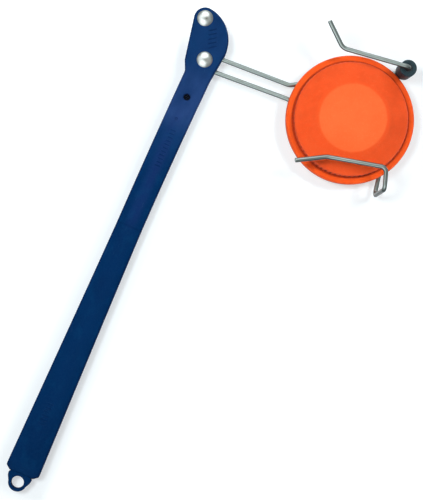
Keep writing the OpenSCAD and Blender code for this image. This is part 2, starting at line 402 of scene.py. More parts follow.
class Material(Nodes):
    """A material with one Principled shader."""

    def __init__(self, name):
        self.block = bpy.data.materials.new(name)
        super().__init__(self.block)
        self.out = self.new("OutputMaterial")
        self.shader = self.new("BsdfPrincipled")
        self.put(self.out.inputs[0], self.shader.outputs[0])

    def set(self, **inputs):
        self.fill(self.shader, **inputs)

    def place(self):
        """Object coordinates, in metres."""
        return self.new("TexCoord").outputs["Object"]

    def lay(self):
        node = self.new("Attribute", attribute_type="GEOMETRY", attribute_name="lay")
        return node.outputs["Vector"]

    def normal(self):
        return self.new("NewGeometry").outputs["Normal"]

    def scaled(self, vector, by):
        return self.new("VectorMath", vector, by, operation="MULTIPLY").outputs[0]

    def paint(self, base, coat, by):
        """Mixes from base to coat. Each is a socket or an sRGB colour of 0 to 255."""
        base, coat = (srgb(*c) if isinstance(c, tuple) else c for c in (base, coat))
        return self.mix(by, base, coat)

    def noise(self, vector, scale, detail=3.0, rough=0.6):
        return self.fill(self.new("TexNoise"), Vector=vector, Scale=scale, Detail=detail,
                         Roughness=rough).outputs[0]

    def cells(self, vector, scale):
        return self.fill(self.new("TexVoronoi"), Vector=vector, Scale=scale).outputs["Distance"]

    def bump(self, height, mm, strength, over=None):
        """Relief of a depth in mm, added over another normal."""
        node = self.fill(self.new("Bump"), Strength=strength, Distance=mm * MM, Height=height)
        if over is not None:
            self.fill(node, Normal=over)
        return node.outputs[0]

    def soft(self, mm):
        """A normal that rounds the edges by a radius in mm."""
        return self.fill(self.new("Bevel", samples=6), Radius=mm * MM).outputs[0]

    def edge(self, mm):
        """1 on the edges that a small radius would round, 0 elsewhere."""
        return self.span(self.dot(self.soft(mm), self.normal()), of=(1.0, 0.86))

    def turned(self, of):
        """0 where the surface faces the eye, 1 where it turns away from it."""
        node = self.fill(self.new("LayerWeight"), Blend=0.5)
        return self.ease(node.outputs["Facing"], of)


# ------------------------------------------------------------------ materials
WAIST_DOWN = 156.0      # the handle's narrowest place, below the pivot


def plastic_blue():
    m = Material("handle_plastic_blue")
    o = m.place()
    y = m.split(o)[1]
    across, _, flag = m.split(m.lay())      # -1 to 1 over the grip, and 1 on raised marks
    off_middle = m.abs(across)
    col = m.paint(base=(0, 46, 93), coat=(21, 59, 110), by=m.ease(y, of=(0.28, 0.35)))
    # painted highlight: a paler band down the middle of the lower grip, where the crowned face
    # would catch the light; the same mask also lowers the roughness there
    lengthwise = m.mul(m.ease(y, of=(0.02, 0.07)), m.ease(y, of=(0.30, 0.37), to=(1, 0)))
    sheen_and_polish = m.mul(m.ease(off_middle, of=(0.15, 0.62), to=(1, 0)), lengthwise)
    blotch = m.noise(m.scaled(o, by=(1.0, 0.45, 1.0)), scale=60, detail=4)
    sheen_and_polish = m.mul(sheen_and_polish, m.span(blotch, of=(0.3, 0.7), to=(0.35, 1)))
    shown = m.ease(y, of=(0.232, 0.252), to=(0.05, 0.50))
    col = m.paint(col, coat=(36, 52, 118), by=m.mul(sheen_and_polish, shown))
    # uneven depth of colour and the grain of the mould
    col = m.paint(col, coat=(0, 30, 70), by=m.span(blotch, of=(0.35, 0.75), to=(0, 0.38)))
    teal = m.noise(m.scaled(o, by=(1.0, 0.6, 1.0)), scale=120, detail=4)
    col = m.paint(col, coat=(6, 62, 108), by=m.span(teal, of=(0.50, 0.72), to=(0, 0.35)))
    grain = m.noise(o, scale=1900)
    speck = m.noise(o, scale=700, detail=2, rough=0.5)
    col = m.paint(col, coat=(60, 92, 150), by=m.span(speck, of=(0.35, 0.7), to=(0, 0.05)))
    # fine scratches along the handle, in patches
    scratch = m.noise(m.scaled(o, by=(1.0, 0.035, 1.0)), scale=2600, detail=2, rough=0.5)
    patch = m.span(m.noise(o, scale=45, detail=2, rough=0.5), of=(0.5, 0.62))
    scratch = m.mul(m.span(scratch, of=(0.70, 0.76)), patch)
    col = m.paint(col, coat=(92, 122, 170), by=m.mul(scratch, 0.22))
    # rubbed edges
    rubbed = m.mul(m.edge(mm=0.7), m.span(m.noise(o, scale=260), of=(0.42, 0.66)))
    col = m.paint(col, coat=(52, 88, 146), by=m.mul(rubbed, 0.28))
    # painted shade: darker on the rounded sides, where they turn from the light
    level = m.abs(m.split(m.normal())[2])
    side_shade = m.mul(m.span(level, of=(0.985, 0.86)), m.span(off_middle, of=(0.62, 0.80)))
    col = m.paint(col, coat=(0, 24, 66), by=m.mul(side_shade, 0.42))
    # paler at the neck
    neck = m.mul(m.ease(y, of=(0.325, 0.345)), m.ease(y, of=(0.372, 0.392), to=(1, 0)))
    neck = m.mul(neck, m.span(blotch, of=(0.3, 0.7), to=(0.45, 0.15)))
    col = m.paint(col, coat=(58, 84, 144), by=neck)
    # a dark line across the waist
    from_waist = m.away(y, PIVOT_Y * MM - WAIST_DOWN * MM)
    col = m.paint(col, coat=(1, 24, 60),
                  by=m.ease(from_waist, of=(0.0004, 0.0014), to=(0.20, 0)))
    mark = m.span(flag, of=(0.1, 1))
    col = m.paint(col, coat=(2, 30, 72), by=m.mul(mark, 0.55))
    rough = m.add(m.span(grain, of=(0.3, 0.7), to=(0.40, 0.52)), m.mul(sheen_and_polish, -0.06))
    relief = m.bump(grain, mm=0.035, strength=0.55, over=m.soft(mm=0.25))
    relief = m.bump(speck, mm=0.05, strength=0.35, over=relief)
    m.set(Base_Color=col, IOR=1.22,
          Roughness=m.add(rough, m.mul(scratch, 0.08)),
          Specular_IOR_Level=m.span(level, of=(0.97, 0.60), to=(0.16, 0.03)),
          Normal=m.bump(scratch, mm=-0.015, strength=0.5, over=relief))
    return m.block


def rivet_nickel():
    m = Material("rivet_nickel")
    o = m.place()
    turning = m.noise(m.scaled(m.lay(), by=(0.6, 0.6, 3200.0)), scale=1.6)
    cloud = m.noise(o, scale=420)
    pit = m.span(m.cells(o, scale=1500), of=(0, 0.10))
    col = m.paint(base=(198, 204, 202), coat=(226, 231, 228), by=m.span(cloud, of=(0.3, 0.7)))
    tarnish = m.span(m.noise(o, scale=800, detail=4, rough=0.65), of=(0.56, 0.72), to=(0, 0.40))
    col = m.paint(col, coat=(160, 156, 142), by=tarnish)
    # painted shade: darker where the dome falls away
    level = m.abs(m.split(m.normal())[2])
    col = m.paint(col, coat=(84, 94, 96), by=m.span(level, of=(0.94, 0.74), to=(0, 0.66)))
    relief = m.bump(turning, mm=0.006, strength=0.5)
    relief = m.bump(pit, mm=0.02, strength=0.35, over=relief)
    dents = m.noise(o, scale=240, detail=2, rough=0.5)
    m.set(Base_Color=col, Metallic=1.0,
          Roughness=m.add(m.span(cloud, of=(0.3, 0.7), to=(0.27, 0.33)), m.mul(tarnish, 0.15)),
          Normal=m.bump(dents, mm=0.10, strength=0.35, over=relief))
    return m.block


def zinc_plate():
    m = Material("zinc_plate")
    o = m.place()
    cloud = m.noise(o, scale=500, detail=4)
    col = m.paint(base=(176, 178, 176), coat=(205, 203, 190), by=m.span(cloud, of=(0.3, 0.7)))
    spots = m.span(m.noise(o, scale=1100), of=(0.55, 0.75), to=(0, 0.5))
    fine = m.noise(o, scale=2600, detail=2, rough=0.5)
    m.set(Base_Color=m.paint(col, coat=(140, 140, 150), by=spots), Metallic=1.0,
          Roughness=m.span(cloud, of=(0.3, 0.7), to=(0.28, 0.42)),
          Normal=m.bump(fine, mm=0.012, strength=0.5, over=m.soft(mm=0.12)))
    return m.block


def drawn_wire():
    m = Material("drawn_spring_wire")
    lay = m.lay()          # (run along the wire in m, cos, sin round it)
    o = m.place()
    draw = m.noise(m.scaled(lay, by=(26.0, 1.6, 1.6)), scale=1.4, rough=0.5)
    hair = m.noise(m.scaled(lay, by=(60.0, 7.0, 7.0)), scale=1.0, detail=2, rough=0.5)
    cloud = m.noise(o, scale=90, detail=4)
    col = m.paint(base=(127, 139, 137), coat=(167, 177, 173), by=m.span(draw, of=(0.35, 0.7)))
    col = m.paint(col, coat=(138, 142, 132), by=m.span(cloud, of=(0.5, 0.75), to=(0, 0.45)))
    grime = m.span(m.noise(o, scale=1300), of=(0.62, 0.78), to=(0, 0.5))
    col = m.paint(col, coat=(84, 80, 72), by=grime)
    # painted shade: dark flanks where the wire turns from the eye, most of all on the side at the
    # bottom of the view
    low = m.ease(m.dot(m.normal(), VIEW_DOWN), of=(-0.15, 0.45), to=(0.40, 1))
    flank_shade = m.mul(m.turned(of=(0.03, 0.40)), m.mul(low, 0.92))
    relief = m.bump(hair, mm=0.006, strength=0.4)
    m.set(Base_Color=m.paint(col, coat=(24, 34, 34), by=flank_shade), Metallic=1.0,
          Roughness=m.add(m.span(draw, of=(0.3, 0.7), to=(0.28, 0.33)), m.mul(grime, 0.20)),
          Normal=m.bump(draw, mm=0.008, strength=0.3, over=relief))
    return m.block


def black_rubber():
    m = Material("black_rubber")
    o = m.place()
    big = m.noise(o, scale=160, detail=4)
    fine = m.noise(o, scale=2200)
    col = m.paint(base=(26, 42, 48), coat=(44, 64, 70), by=m.span(big, of=(0.35, 0.7)))
    dust = m.mul(m.span(fine, of=(0.52, 0.72), to=(0, 0.35)), m.span(big, of=(0.4, 0.7)))
    m.set(Base_Color=m.paint(col, coat=(88, 98, 98), by=dust),
          Roughness=m.span(big, of=(0.3, 0.7), to=(0.52, 0.70)), Specular_IOR_Level=0.28,
          Normal=m.bump(fine, mm=0.03, strength=0.5, over=m.soft(mm=0.3)))
    return m.block


def nylon(name, dark, light, rough):
    m = Material(name)
    o = m.place()
    cloud = m.noise(o, scale=700)
    fine = m.noise(o, scale=3000, detail=2, rough=0.5)
    m.set(Base_Color=m.paint(dark, light, by=m.span(cloud, of=(0.35, 0.7))),
          Roughness=m.span(fine, of=(0.3, 0.7), to=(rough, rough + 0.12)),
          Normal=m.bump(fine, mm=0.01, strength=0.5, over=m.soft(mm=0.1)))
    return m.block


def black_oxide():
    m = Material("black_oxide_screw")
    o = m.place()
    cloud = m.noise(o, scale=900)
    patch = m.span(m.noise(o, scale=1500, detail=2, rough=0.5), of=(0.4, 0.6))
    wear = m.mul(m.edge(mm=0.25), patch)
    col = m.paint(base=(4, 12, 26), coat=(8, 18, 38), by=m.span(cloud, of=(0.35, 0.7)))
    fine = m.noise(o, scale=3500, detail=2, rough=0.5)
    m.set(Base_Color=m.paint(col, coat=(120, 120, 122), by=m.mul(wear, 0.12)), Metallic=0.85,
          Roughness=m.span(cloud, of=(0.3, 0.7), to=(0.34, 0.5)),
          Normal=m.bump(fine, mm=0.01, strength=0.5, over=m.soft(mm=0.1)))
    return m.block


RIBS = 72               # upright ribs round the target's wall
WORN_X, WORN_Y = 0.0698, -0.9976    # unit direction to the wall's worn stretch
RING_PITCH = 0.0011     # turning rings on the target, in metres


def target_paint():
    m = Material("target_orange_paint")
    o = m.place()
    nz = m.split(m.normal())[2]
    base = (TARGET_X * MM, TARGET_Y * MM, z_span("clay_target")[0] * MM)
    x, y, z = m.split(m.new("VectorMath", o, base, operation="SUBTRACT").outputs[0])
    rad = m.hypot(x, y)
    cloud = m.noise(o, scale=42, detail=5)
    mottle = m.noise(o, scale=520, detail=4, rough=0.65)
    grit = m.noise(o, scale=2100)
    # dome, slope and outer flange; the flat dome is painted paler than the sloping shoulder, as
    # painted light from above
    col = m.paint(base=(252, 112, 57), coat=(249, 91, 41), by=m.span(rad, of=(0.0278, 0.0296)))
    col = m.paint(col, coat=(255, 96, 34), by=m.span(rad, of=(0.0487, 0.0500)))
    col = m.paint(col, coat=(255, 82, 26), by=m.span(cloud, of=(0.35, 0.7), to=(0, 0.35)))
    col = m.paint(col, coat=(255, 138, 84), by=m.span(mottle, of=(0.52, 0.74), to=(0, 0.22)))
    col = m.paint(col, coat=(206, 62, 18), by=m.span(grit, of=(0.60, 0.76), to=(0, 0.30)))
    # thin paint on the ribbed wall
    wall = m.mul(m.span(rad, of=(0.0476, 0.0480)), m.span(rad, of=(0.0497, 0.0492)))
    height = m.mul(m.span(z, of=(0.0166, 0.0150)), m.span(z, of=(0.0080, 0.0086)))
    wall = m.mul(wall, height)
    thin = m.mul(wall, m.span(mottle, of=(0.30, 0.55), to=(0.40, 0.70)))
    col = m.paint(col, coat=(196, 66, 30), by=thin)
    # dark dashes between the ribs, where the paint has worn off along one stretch
    turn = m.math("ARCTAN2", y, x)
    dash = m.span(m.math("COSINE", m.mul(turn, float(RIBS))), of=(0.1, -0.5))
    patchy = m.span(m.noise(o, scale=55), of=(0.40, 0.62), to=(0.25, 1))
    toward_worn = m.math("DIVIDE", m.add(m.mul(x, WORN_X), m.mul(y, WORN_Y)), rad)
    patchy = m.mul(patchy, m.ease(toward_worn, of=(0.62, 0.88), to=(0.15, 1)))
    col = m.paint(col, coat=(96, 26, 16), by=m.mul(m.mul(wall, dash), m.mul(patchy, 0.9)))
    # painted shade in the crease at the wall's foot
    crease_shade = m.mul(m.span(rad, of=(0.0486, 0.0491)), m.span(rad, of=(0.0506, 0.0501)))
    uneven = m.span(mottle, of=(0.25, 0.55), to=(0.55, 1))
    crease_shade = m.mul(crease_shade, m.mul(m.span(z, of=(0.0120, 0.0108)), uneven))
    col = m.paint(col, coat=(170, 56, 30), by=m.mul(crease_shade, 0.74))
    # scuffs outside the dome, then pale flecks
    scuff = m.span(m.noise(o, scale=24, detail=6, rough=0.68), of=(0.42, 0.68), to=(0, 0.50))
    scuff = m.mul(scuff, m.span(rad, of=(0.0300, 0.0330)))
    col = m.paint(col, coat=(206, 66, 24), by=scuff)
    patch = m.span(m.noise(o, scale=160, detail=2, rough=0.5), of=(0.56, 0.62))
    fleck = m.mul(m.span(m.cells(o, scale=620), of=(0.10, 0.05)), patch)
    col = m.paint(col, coat=(255, 190, 150), by=m.mul(fleck, 0.45))
    # small chips
    patch = m.span(m.noise(o, scale=30, detail=1, rough=0.5), of=(0.60, 0.66))
    chip = m.mul(m.span(m.cells(o, scale=190), of=(0.055, 0.035)), patch)
    col = m.paint(col, coat=(150, 52, 24), by=m.mul(chip, 0.7))
    # bare pitch inside, dusted with overspray near the rim
    inside = m.mul(m.span(nz, of=(-0.10, -0.35)), m.span(rad, of=(0.0515, 0.0500)))
    spray = m.span(m.add(m.mul(rad, 12.0), m.mul(mottle, 0.5)), of=(0.66, 0.92))
    pitch = m.paint(base=(26, 22, 20), coat=(48, 40, 35), by=m.span(mottle, of=(0.3, 0.7)))
    pitch = m.paint(pitch, coat=(206, 78, 30), by=m.mul(spray, 0.75))
    col = m.paint(col, pitch, by=inside)
    # painted shade: darker where it turns from the eye
    col = m.paint(col, coat=(120, 34, 14), by=m.mul(m.turned(of=(0.74, 0.97)), 0.70))
    rings = m.math("SINE", m.mul(rad, 2 * math.pi / RING_PITCH))
    relief = m.bump(grit, mm=0.05, strength=0.55, over=m.soft(mm=0.2))
    relief = m.bump(mottle, mm=0.10, strength=0.45, over=relief)
    relief = m.bump(rings, mm=0.010, strength=0.30, over=relief)
    m.set(Base_Color=col, Specular_IOR_Level=0.15,
          Roughness=m.span(mottle, of=(0.3, 0.7), to=(0.50, 0.66)),
          Normal=m.bump(cloud, mm=0.6, strength=0.25, over=relief))
    return m.block


BLUE = plastic_blue()
NICKEL = rivet_nickel()
ZINC = zinc_plate()
WIRE = drawn_wire()
RUBBER = black_rubber()
ORANGE = target_paint()
WHITE_NYLON = nylon("white_nylon", dark=(214, 210, 198), light=(236, 234, 226), rough=0.38)
BLACK_NYLON = nylon("black_nylon", dark=(16, 17, 19), light=(34, 35, 38), rough=0.36)
OXIDE = black_oxide()


def dress(ob, material, body, node):
    """Gives a piece its material, the body it moves with and the CAD node it stands for."""
    ob.data.materials.clear()
    ob.data.materials.append(material)
    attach(ob, body)
    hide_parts(node)


# ------------------------------------------------------------------ handle outline
# measured from the pivot
END_Y = SHELL_LO[1] - PIVOT_Y
CORNER_Y = END_Y + 3.3      # where the slanted lower corners meet the sides
CORNER_IN = 4.2             # how far in those corners start on the end
CORNER_ROUND = 1.9
THROAT_Y = -15.0            # the top of the straight grip
NECK_DOWN = 17


def along_grip(y, neck, waist, butt, power):
    """A value that changes from the neck to the waist to the lower end."""
    if -y < WAIST_DOWN:
        return mix(waist, neck, clip((WAIST_DOWN + y) / (WAIST_DOWN - NECK_DOWN)) ** 2)
    return mix(waist, butt, clip((-y - WAIST_DOWN) / (-CORNER_Y - WAIST_DOWN)) ** power)


def grip_w(y):
    return along_grip(y, neck=23.2, waist=22.4, butt=30.0, power=1.1)


def grip_mid(y):
    return along_grip(y, neck=-0.1, waist=-1.8, butt=-1.4, power=1.0)


def grip_side(y, side):
    """The edge of the grip, on the side of +X (1) or -X (-1)."""
    return np.array([grip_mid(y) + side * grip_w(y) / 2, y])


# The head's +X side is a large arc, which runs on into the tip's arc round the stop.
TIP_R = SHELL_HI[1] - STOP_Y
HEAD_SIDE = SHELL_HI[0] - PIVOT_X
BULGE_Y = 11.5
stop_in = HEAD_SIDE - STOP[0]
BULGE_R = (stop_in ** 2 + (STOP[1] - BULGE_Y) ** 2 - TIP_R ** 2) / (2 * (stop_in - TIP_R))
BULGE_C = np.array([HEAD_SIDE - BULGE_R, BULGE_Y])
BLEND_A = math.atan2(STOP[1] - BULGE_Y, STOP[0] - BULGE_C[0])
# Its -X side is a straight, from a kink above the grip to a tangent on the tip.
KINK = np.array([-15.7, -6.5])
kink_to_stop = STOP - KINK
KINK_A = (math.atan2(kink_to_stop[1], kink_to_stop[0])
          + math.asin(TIP_R / np.linalg.norm(kink_to_stop)))
TOP_R, TOP_L = math.radians(100), math.radians(150)     # part of the tip that closes the grid
END_LEFT = grip_mid(CORNER_Y) - grip_w(CORNER_Y) / 2 + CORNER_IN
END_RIGHT = grip_mid(CORNER_Y) + grip_w(CORNER_Y) / 2 - CORNER_IN


def handle_chains():
    """The outline, anticlockwise from the middle of the lower end: +X side, tip, -X side."""
    ys = np.linspace(CORNER_Y, THROAT_Y, 140)
    end_left, end_right = np.array([END_LEFT, END_Y]), np.array([END_RIGHT, END_Y])
    end_mid = (end_left + end_right) / 2
    right = [end_mid, end_right] + [grip_side(y, 1) for y in ys]
    right += arc(BULGE_C, BULGE_R, 0, BLEND_A, 40)
    right += arc(STOP, TIP_R, BLEND_A, TOP_R, 12)[1:]
    right = round_path(right, [0, CORNER_ROUND, CORNER_ROUND] + [0] * (len(right) - 3))
    top = arc(STOP, TIP_R, TOP_R, TOP_L, 24)
    left = arc(STOP, TIP_R, TOP_L, KINK_A + math.pi / 2, 16)
    radii = [0] * len(left) + [5.0, 6.0] + [0] * (len(ys) - 2) + [CORNER_ROUND, CORNER_ROUND, 0]
    left += [KINK] + [grip_side(y, -1) for y in ys[::-1]] + [end_left, end_mid]
    return dense(right), dense(top), dense(round_path(left, radii))


# ------------------------------------------------------------------ handle shells
GRID_LONG, GRID_WIDE = 470, 12
FILLET = 1.9
# inset and height of the rings up the wall, from the parting plane
WALL = ((0.28, 0.0), (0.0, 0.32), (0.0, 3.0))
FILLET_INSETS = (0.0, 0.10, 0.26, 0.50, 0.82, 1.2, 1.55, FILLET)


def crown(y):
    """How far the face falls from its middle to its edge."""
    return 0.18 + 0.95 * smooth((-y - 60) / 190.0)


def z_top(x, y):
    """Height of the face: crowned, with a fine groove at the waist."""
    grip_y = min(y, THROAT_Y)
    u = 2 * (x - grip_mid(grip_y)) / grip_w(grip_y)
    drop = crown(y) * min(u * u, 1.5) + 0.09 * math.exp(-((y + WAIST_DOWN) / 1.1) ** 2)
    # a short soft roll-off at the lower end
    e = clip((CORNER_Y + 9 - y) / 12.3)
    return HALF_T - drop - 3.2 * e * e * (1.6 - 0.6 * e)


def handle_shell(name, side):
    """One closed shell. side is 1 for the front (+Z) and -1 for the back."""
    right, top, left = handle_chains()
    # the lower edge of the grid is the first and last stretch of two chains
    half = abs(right[0][0] - END_RIGHT) - 1.2
    cut_r = next(i for i, p in enumerate(right) if p[0] - right[0][0] > half)
    cut_l = next(i for i, p in enumerate(left[::-1]) if left[-1][0] - p[0] > half)
    bottom = left[len(left) - 1 - cut_l:] + right[1:cut_r + 1]
    loop = np.array(resample(bottom, GRID_WIDE)[:-1]
                    + resample(right[cut_r:], GRID_LONG)[:-1]
                    + resample(top, GRID_WIDE)[:-1]
                    + resample(left[:len(left) - cut_l], GRID_LONG)[:-1])
    ahead = np.roll(loop, -1, axis=0) - loop
    behind = loop - np.roll(loop, 1, axis=0)
    ahead /= np.linalg.norm(ahead, axis=1)[:, None]
    behind /= np.linalg.norm(behind, axis=1)[:, None]
    tangents = ahead + behind
    tangents /= np.linalg.norm(tangents, axis=1)[:, None]
    inward = left_of(tangents)
    verts, lay = [], []

    def add(p, z):
        x, y = p
        verts.append((x + PIVOT_X, y + PIVOT_Y, side * z))
        grip_y = min(y, THROAT_Y)
        lay.append((2 * (x - grip_mid(grip_y)) / grip_w(grip_y), y * MM, z * MM))
        return len(verts) - 1

    rings = [[add(p, z) for p in loop + inward * inset] for inset, z in WALL]
    for inset in FILLET_INSETS:
        drop = FILLET - math.sqrt(max(0.0, FILLET ** 2 - (FILLET - inset) ** 2))
        rings.append([add(p, z_top(*p) - drop) for p in loop + inward * inset])
    faces = []
    for low, high in zip(rings, rings[1:]):
        faces += band(low, high)

    def on_loop(i, j):
        """Place on the loop of a grid point, or None inside it."""
        if j == 0:
            return i
        if i == GRID_WIDE:
            return GRID_WIDE + j
        if j == GRID_LONG:
            return GRID_WIDE + GRID_LONG + (GRID_WIDE - i)
        if i == 0:
            return (2 * GRID_WIDE + GRID_LONG + (GRID_LONG - j)) % len(loop)
        return None

    def fill(ring, inset, height):
        """Fills the inside of a ring with a grid blended from its four edges."""
        edge = loop + inward * inset

        def at(i, j):
            return edge[on_loop(i, j)]

        c00, c10 = at(0, 0), at(GRID_WIDE, 0)
        c01, c11 = at(0, GRID_LONG), at(GRID_WIDE, GRID_LONG)
        grid = []
        for i in range(GRID_WIDE + 1):
            u = i / GRID_WIDE
            row = []
            for j in range(GRID_LONG + 1):
                k = on_loop(i, j)
                if k is not None:
                    row.append(ring[k])
                    continue
                v = j / GRID_LONG
                p = (1 - v) * at(i, 0) + v * at(i, GRID_LONG) \
                    + (1 - u) * at(0, j) + u * at(GRID_WIDE, j) \
                    - ((1 - u) * (1 - v) * c00 + u * (1 - v) * c10
                       + (1 - u) * v * c01 + u * v * c11)
                row.append(add(p, height(*p)))
            grid.append(row)
        for a, b in zip(grid, grid[1:]):
            faces.extend([a[j], b[j], b[j + 1], a[j + 1]] for j in range(GRID_LONG))

    fill(rings[-1], FILLET, z_top)
    fill(rings[0], WALL[0][0], lambda x, y: 0.0)
    return mesh_object(name, verts, faces, lay)


# ------------------------------------------------------------------ cuts and raised marks
SLOT_TILT = math.radians(3.3)
ALONG = np.array([math.cos(SLOT_TILT), math.sin(SLOT_TILT)])    # along the slot's floor
ACROSS = np.array([-ALONG[1], ALONG[0]])
WIRE_R = 1.9
LOOP_R = 6.3            # wire's centre line round the pivot
FLOOR_D = LOOP_R + WIRE_R + 0.05
SLOT_H = half_size("stop_sleeve")[2] + 0.01


def slot_cutter():
    """The slot through the head that the arm swings in, round below the pivot."""
    r = FLOOR_D + 0.15
    wall_x, wall_y = -FLOOR_D - 0.4, -1.0
    floor_start = -FLOOR_D * ACROSS + math.sqrt(r * r - FLOOR_D * FLOOR_D) * ALONG
    start = math.atan2(wall_y, -math.sqrt(r * r - wall_y ** 2)) % (2 * math.pi)
    end = math.atan2(floor_start[1], floor_start[0]) % (2 * math.pi)
    outline = [-FLOOR_D * ACROSS + 40 * ALONG, (60.0, 70.0), (-19.0, 70.0), (-19.0, 27.0),
               (wall_x, 3.0), (wall_x, wall_y)]
    outline += arc((0, 0), r, start, end, 20)
    return prism("slot_cut", [PIVOT + p for p in outline], -SLOT_H, SLOT_H)


def neck_cutter():
    """Screw recess with a slightly broken lip."""
    # r, z
    profile = [(0, 3.0), (2.78, 3.0), (2.9, 3.15), (2.9, HALF_T - 0.55), (2.98, HALF_T - 0.28),
               (3.18, HALF_T - 0.06), (3.5, HALF_T + 0.10), (3.5, 12.0), (0, 12.0)]
    return lathe("neck_cut", profile, 48, (SCREW_X, SCREW_Y, 0))


def gate_cutter():
    """Shallow dimple that the moulding gate leaves."""
    r, depth, x, y = 1.35, 0.75, -2.0, -55.8
    profile = [(r * k / 5.0, -depth * (1 - (k / 5.0) ** 3)) for k in range(6)]
    profile += [(r, 3.0), (0, 3.0)]
    at = (PIVOT_X + x, PIVOT_Y + y, HALF_T - crown(y) * 0.02)
    return lathe("gate_cut", profile, 24, at)


def pad(cx, cy, width, length, height, angle=math.pi / 2, flag=1.0):
    """A low rounded bar on the front face. flag deepens its colour."""
    count, verts = 28, []
    cos, sin = math.cos(angle), math.sin(angle)
    # inset, height above the face; the first ring is sunk into it
    for inset, dz in ((0.0, -0.5), (0.0, height * 0.35), (0.10, height * 0.80), (0.24, height)):
        r = width / 2 - inset
        for k in range(count):
            a = 2 * math.pi * k / count
            px = r * math.cos(a)
            py = r * math.sin(a) + (length / 2 - width / 2) * (1 if math.sin(a) >= 0 else -1)
            x, y = cx + px * cos - py * sin, cy + px * sin + py * cos
            face = z_top(x, y) if dz > 0 else z_top(cx, cy)
            verts.append((x + PIVOT_X, y + PIVOT_Y, face + dz))
    lay = [(0.5, (v[1] - PIVOT_Y) * MM, flag) for v in verts]
    return mesh_object("pad", verts, stack_faces(4, count), lay)


def raised_marks():
    """Five bars between the pivot and the stop, then two rows across the grip."""
    marks = []
    to_stop = math.atan2(STOP[1], STOP[0])
    for k in range(5):
        x, y = STOP * (0.30 + 0.105 * k) + np.array([6.0, 2.6])
        marks.append(pad(x, y, width=1.15, length=7.4, height=0.34, angle=to_stop + 0.24))
    for k in range(11):
        y = -66.0 - 3.3 * k
        marks.append(pad(grip_mid(y) + 1.0, y, width=1.2, length=5.0, height=0.26, flag=0.55))
    for k in range(6):
        y = -322.0 - 3.6 * k
        marks.append(pad(grip_mid(y) - 1.0, y, width=1.5, length=6.0, height=0.24, flag=0.35))
    return marks


front = handle_shell("handle_front", 1)
carve(front, [slot_cutter(), neck_cutter(), gate_cutter()])
join(front, raised_marks())
dress(front, BLUE, "handle", "handle_front_shell")

back = handle_shell("handle_back", -1)
carve(back, [slot_cutter()])
dress(back, BLUE, "handle", "handle_back_shell")


# ------------------------------------------------------------------ hang tab
TAB_R = 8.1
TAB_HOLE_R = 5.4
TAB_FILLET = 0.75
# x, y, corner radius of the tab's upper part
TAB_SHOULDERS = [
    (10.2, 3, 1.6), (10.6, 5.4, 1.2), (9, 7.5, 1.2), (9, 16, 0),
    (-9, 16, 0), (-9, 7.5, 1.2), (-10.8, 5.4, 1.2), (-10.3, 3, 1.6),
]
# inset, drop below the face
TAB_OUTER_EDGE = ((0.0, TAB_FILLET), (0.06, 0.46), (0.22, 0.22), (0.46, 0.06), (TAB_FILLET, 0.0))
TAB_HOLE_EDGE = ((0.5, 0.0), (0.26, 0.05), (0.08, 0.2), (0.0, 0.5))


def hang_tab():
    half_t = half_size("hang_tab")[2]
    rows = [(*on_circle(np.zeros(2), TAB_R, math.radians(a)), 1.2 if a in (-170, -10) else 0)
            for a in range(-170, -9, 8)] + TAB_SHOULDERS
    path = round_table(rows, 10, closed=True)
    path = np.array(dense([*path, path[0]], 0.3)[:-1])
    angles = np.unwrap([math.atan2(y, x) for x, y in path])
    # the outline and the hole are sampled at the same angles
    count = 168
    t = angles[0] + np.linspace(0, 2 * math.pi, count, endpoint=False)
    around = np.append(angles, angles[0] + 2 * math.pi)
    outer = np.stack([np.interp(t, around, np.append(c, c[0])) for c in path.T], 1)
    outward = np.stack([np.cos(t), np.sin(t)], 1)
    hole = TAB_HOLE_R * outward
    tangents = np.roll(outer, -1, 0) - np.roll(outer, 1, 0)
    tangents /= np.linalg.norm(tangents, axis=1)[:, None]
    inward = left_of(tangents)
    rings = [(outer + inward * d, half_t - drop) for d, drop in TAB_OUTER_EDGE]
    rings += [(mix(outer + inward * TAB_FILLET, hole + outward * 0.5, s), half_t)
              for s in (0.35, 0.7)]
    rings += [(hole + outward * d, half_t - drop) for d, drop in TAB_HOLE_EDGE]
    rings += [(ring, -z) for ring, z in rings[::-1]]
    verts = [(x, y, z) for ring, z in rings for x, y in ring]
    ids = [range(k * count, (k + 1) * count) for k in range(len(rings))]
    faces = []
    for a, b in ring_edges(ids):
        faces += band(a, b)
    lay = [(0.9, (y - PIVOT_Y) * MM, z * MM) for x, y, z in verts]
    ob = mesh_object("hang_tab_moulded", verts, faces, lay)
    dress(ob, BLUE, "handle", "hang_tab")


hang_tab()


# ------------------------------------------------------------------ rivets
def rivet(name, node, x, y):
    """A domed head on the front face, a shank and a hollow tail at the back."""
    z0, z1 = z_span(node)
    r, rise = 6.85, z1 - HALF_T
    dome_r = ((r + 0.05) ** 2 + rise * rise) / (2 * rise)
    dome_z = HALF_T + rise - dome_r
    profile = [(0.0, z1)]
    for k in range(1, 17):
        out = (r - 0.22) * k / 16.0
        profile.append((out, dome_z + math.sqrt(dome_r * dome_r - out * out)))
    edge_z = profile[-1][1]
    # r, z: head's edge and underside, shank, tail's outside, tail's hollow
    profile += [
        (r - 0.08, edge_z - 0.10), (r, edge_z - 0.24), (r - 0.02, HALF_T - 0.04),
        (3.2, HALF_T - 0.04), (3.2, z0 + 1.4),
        (4.62, z0 + 1.28), (4.7, z0 + 1.1), (4.35, z0 + 0.5), (3.9, z0 + 0.1), (3.5, z0),
        (2.3, z0), (1.95, z0 + 0.16), (1.75, z0 + 0.6), (1.5, z0 + 2.4), (0.9, z0 + 3.0),
        (0.0, z0 + 3.2),
    ]
    ob = lathe(name, profile, 72, (x, y, 0), angle=40)
    dress(ob, NICKEL, "handle", node)


rivet("pivot_rivet_domed", "pivot_rivet", PIVOT_X, PIVOT_Y)
rivet("stop_rivet_domed", "stop_rivet", STOP_X, STOP_Y)


# ------------------------------------------------------------------ throwing arm
CAGE_Z = 36.0       # the wire's front run, above the run in the handle's middle plane
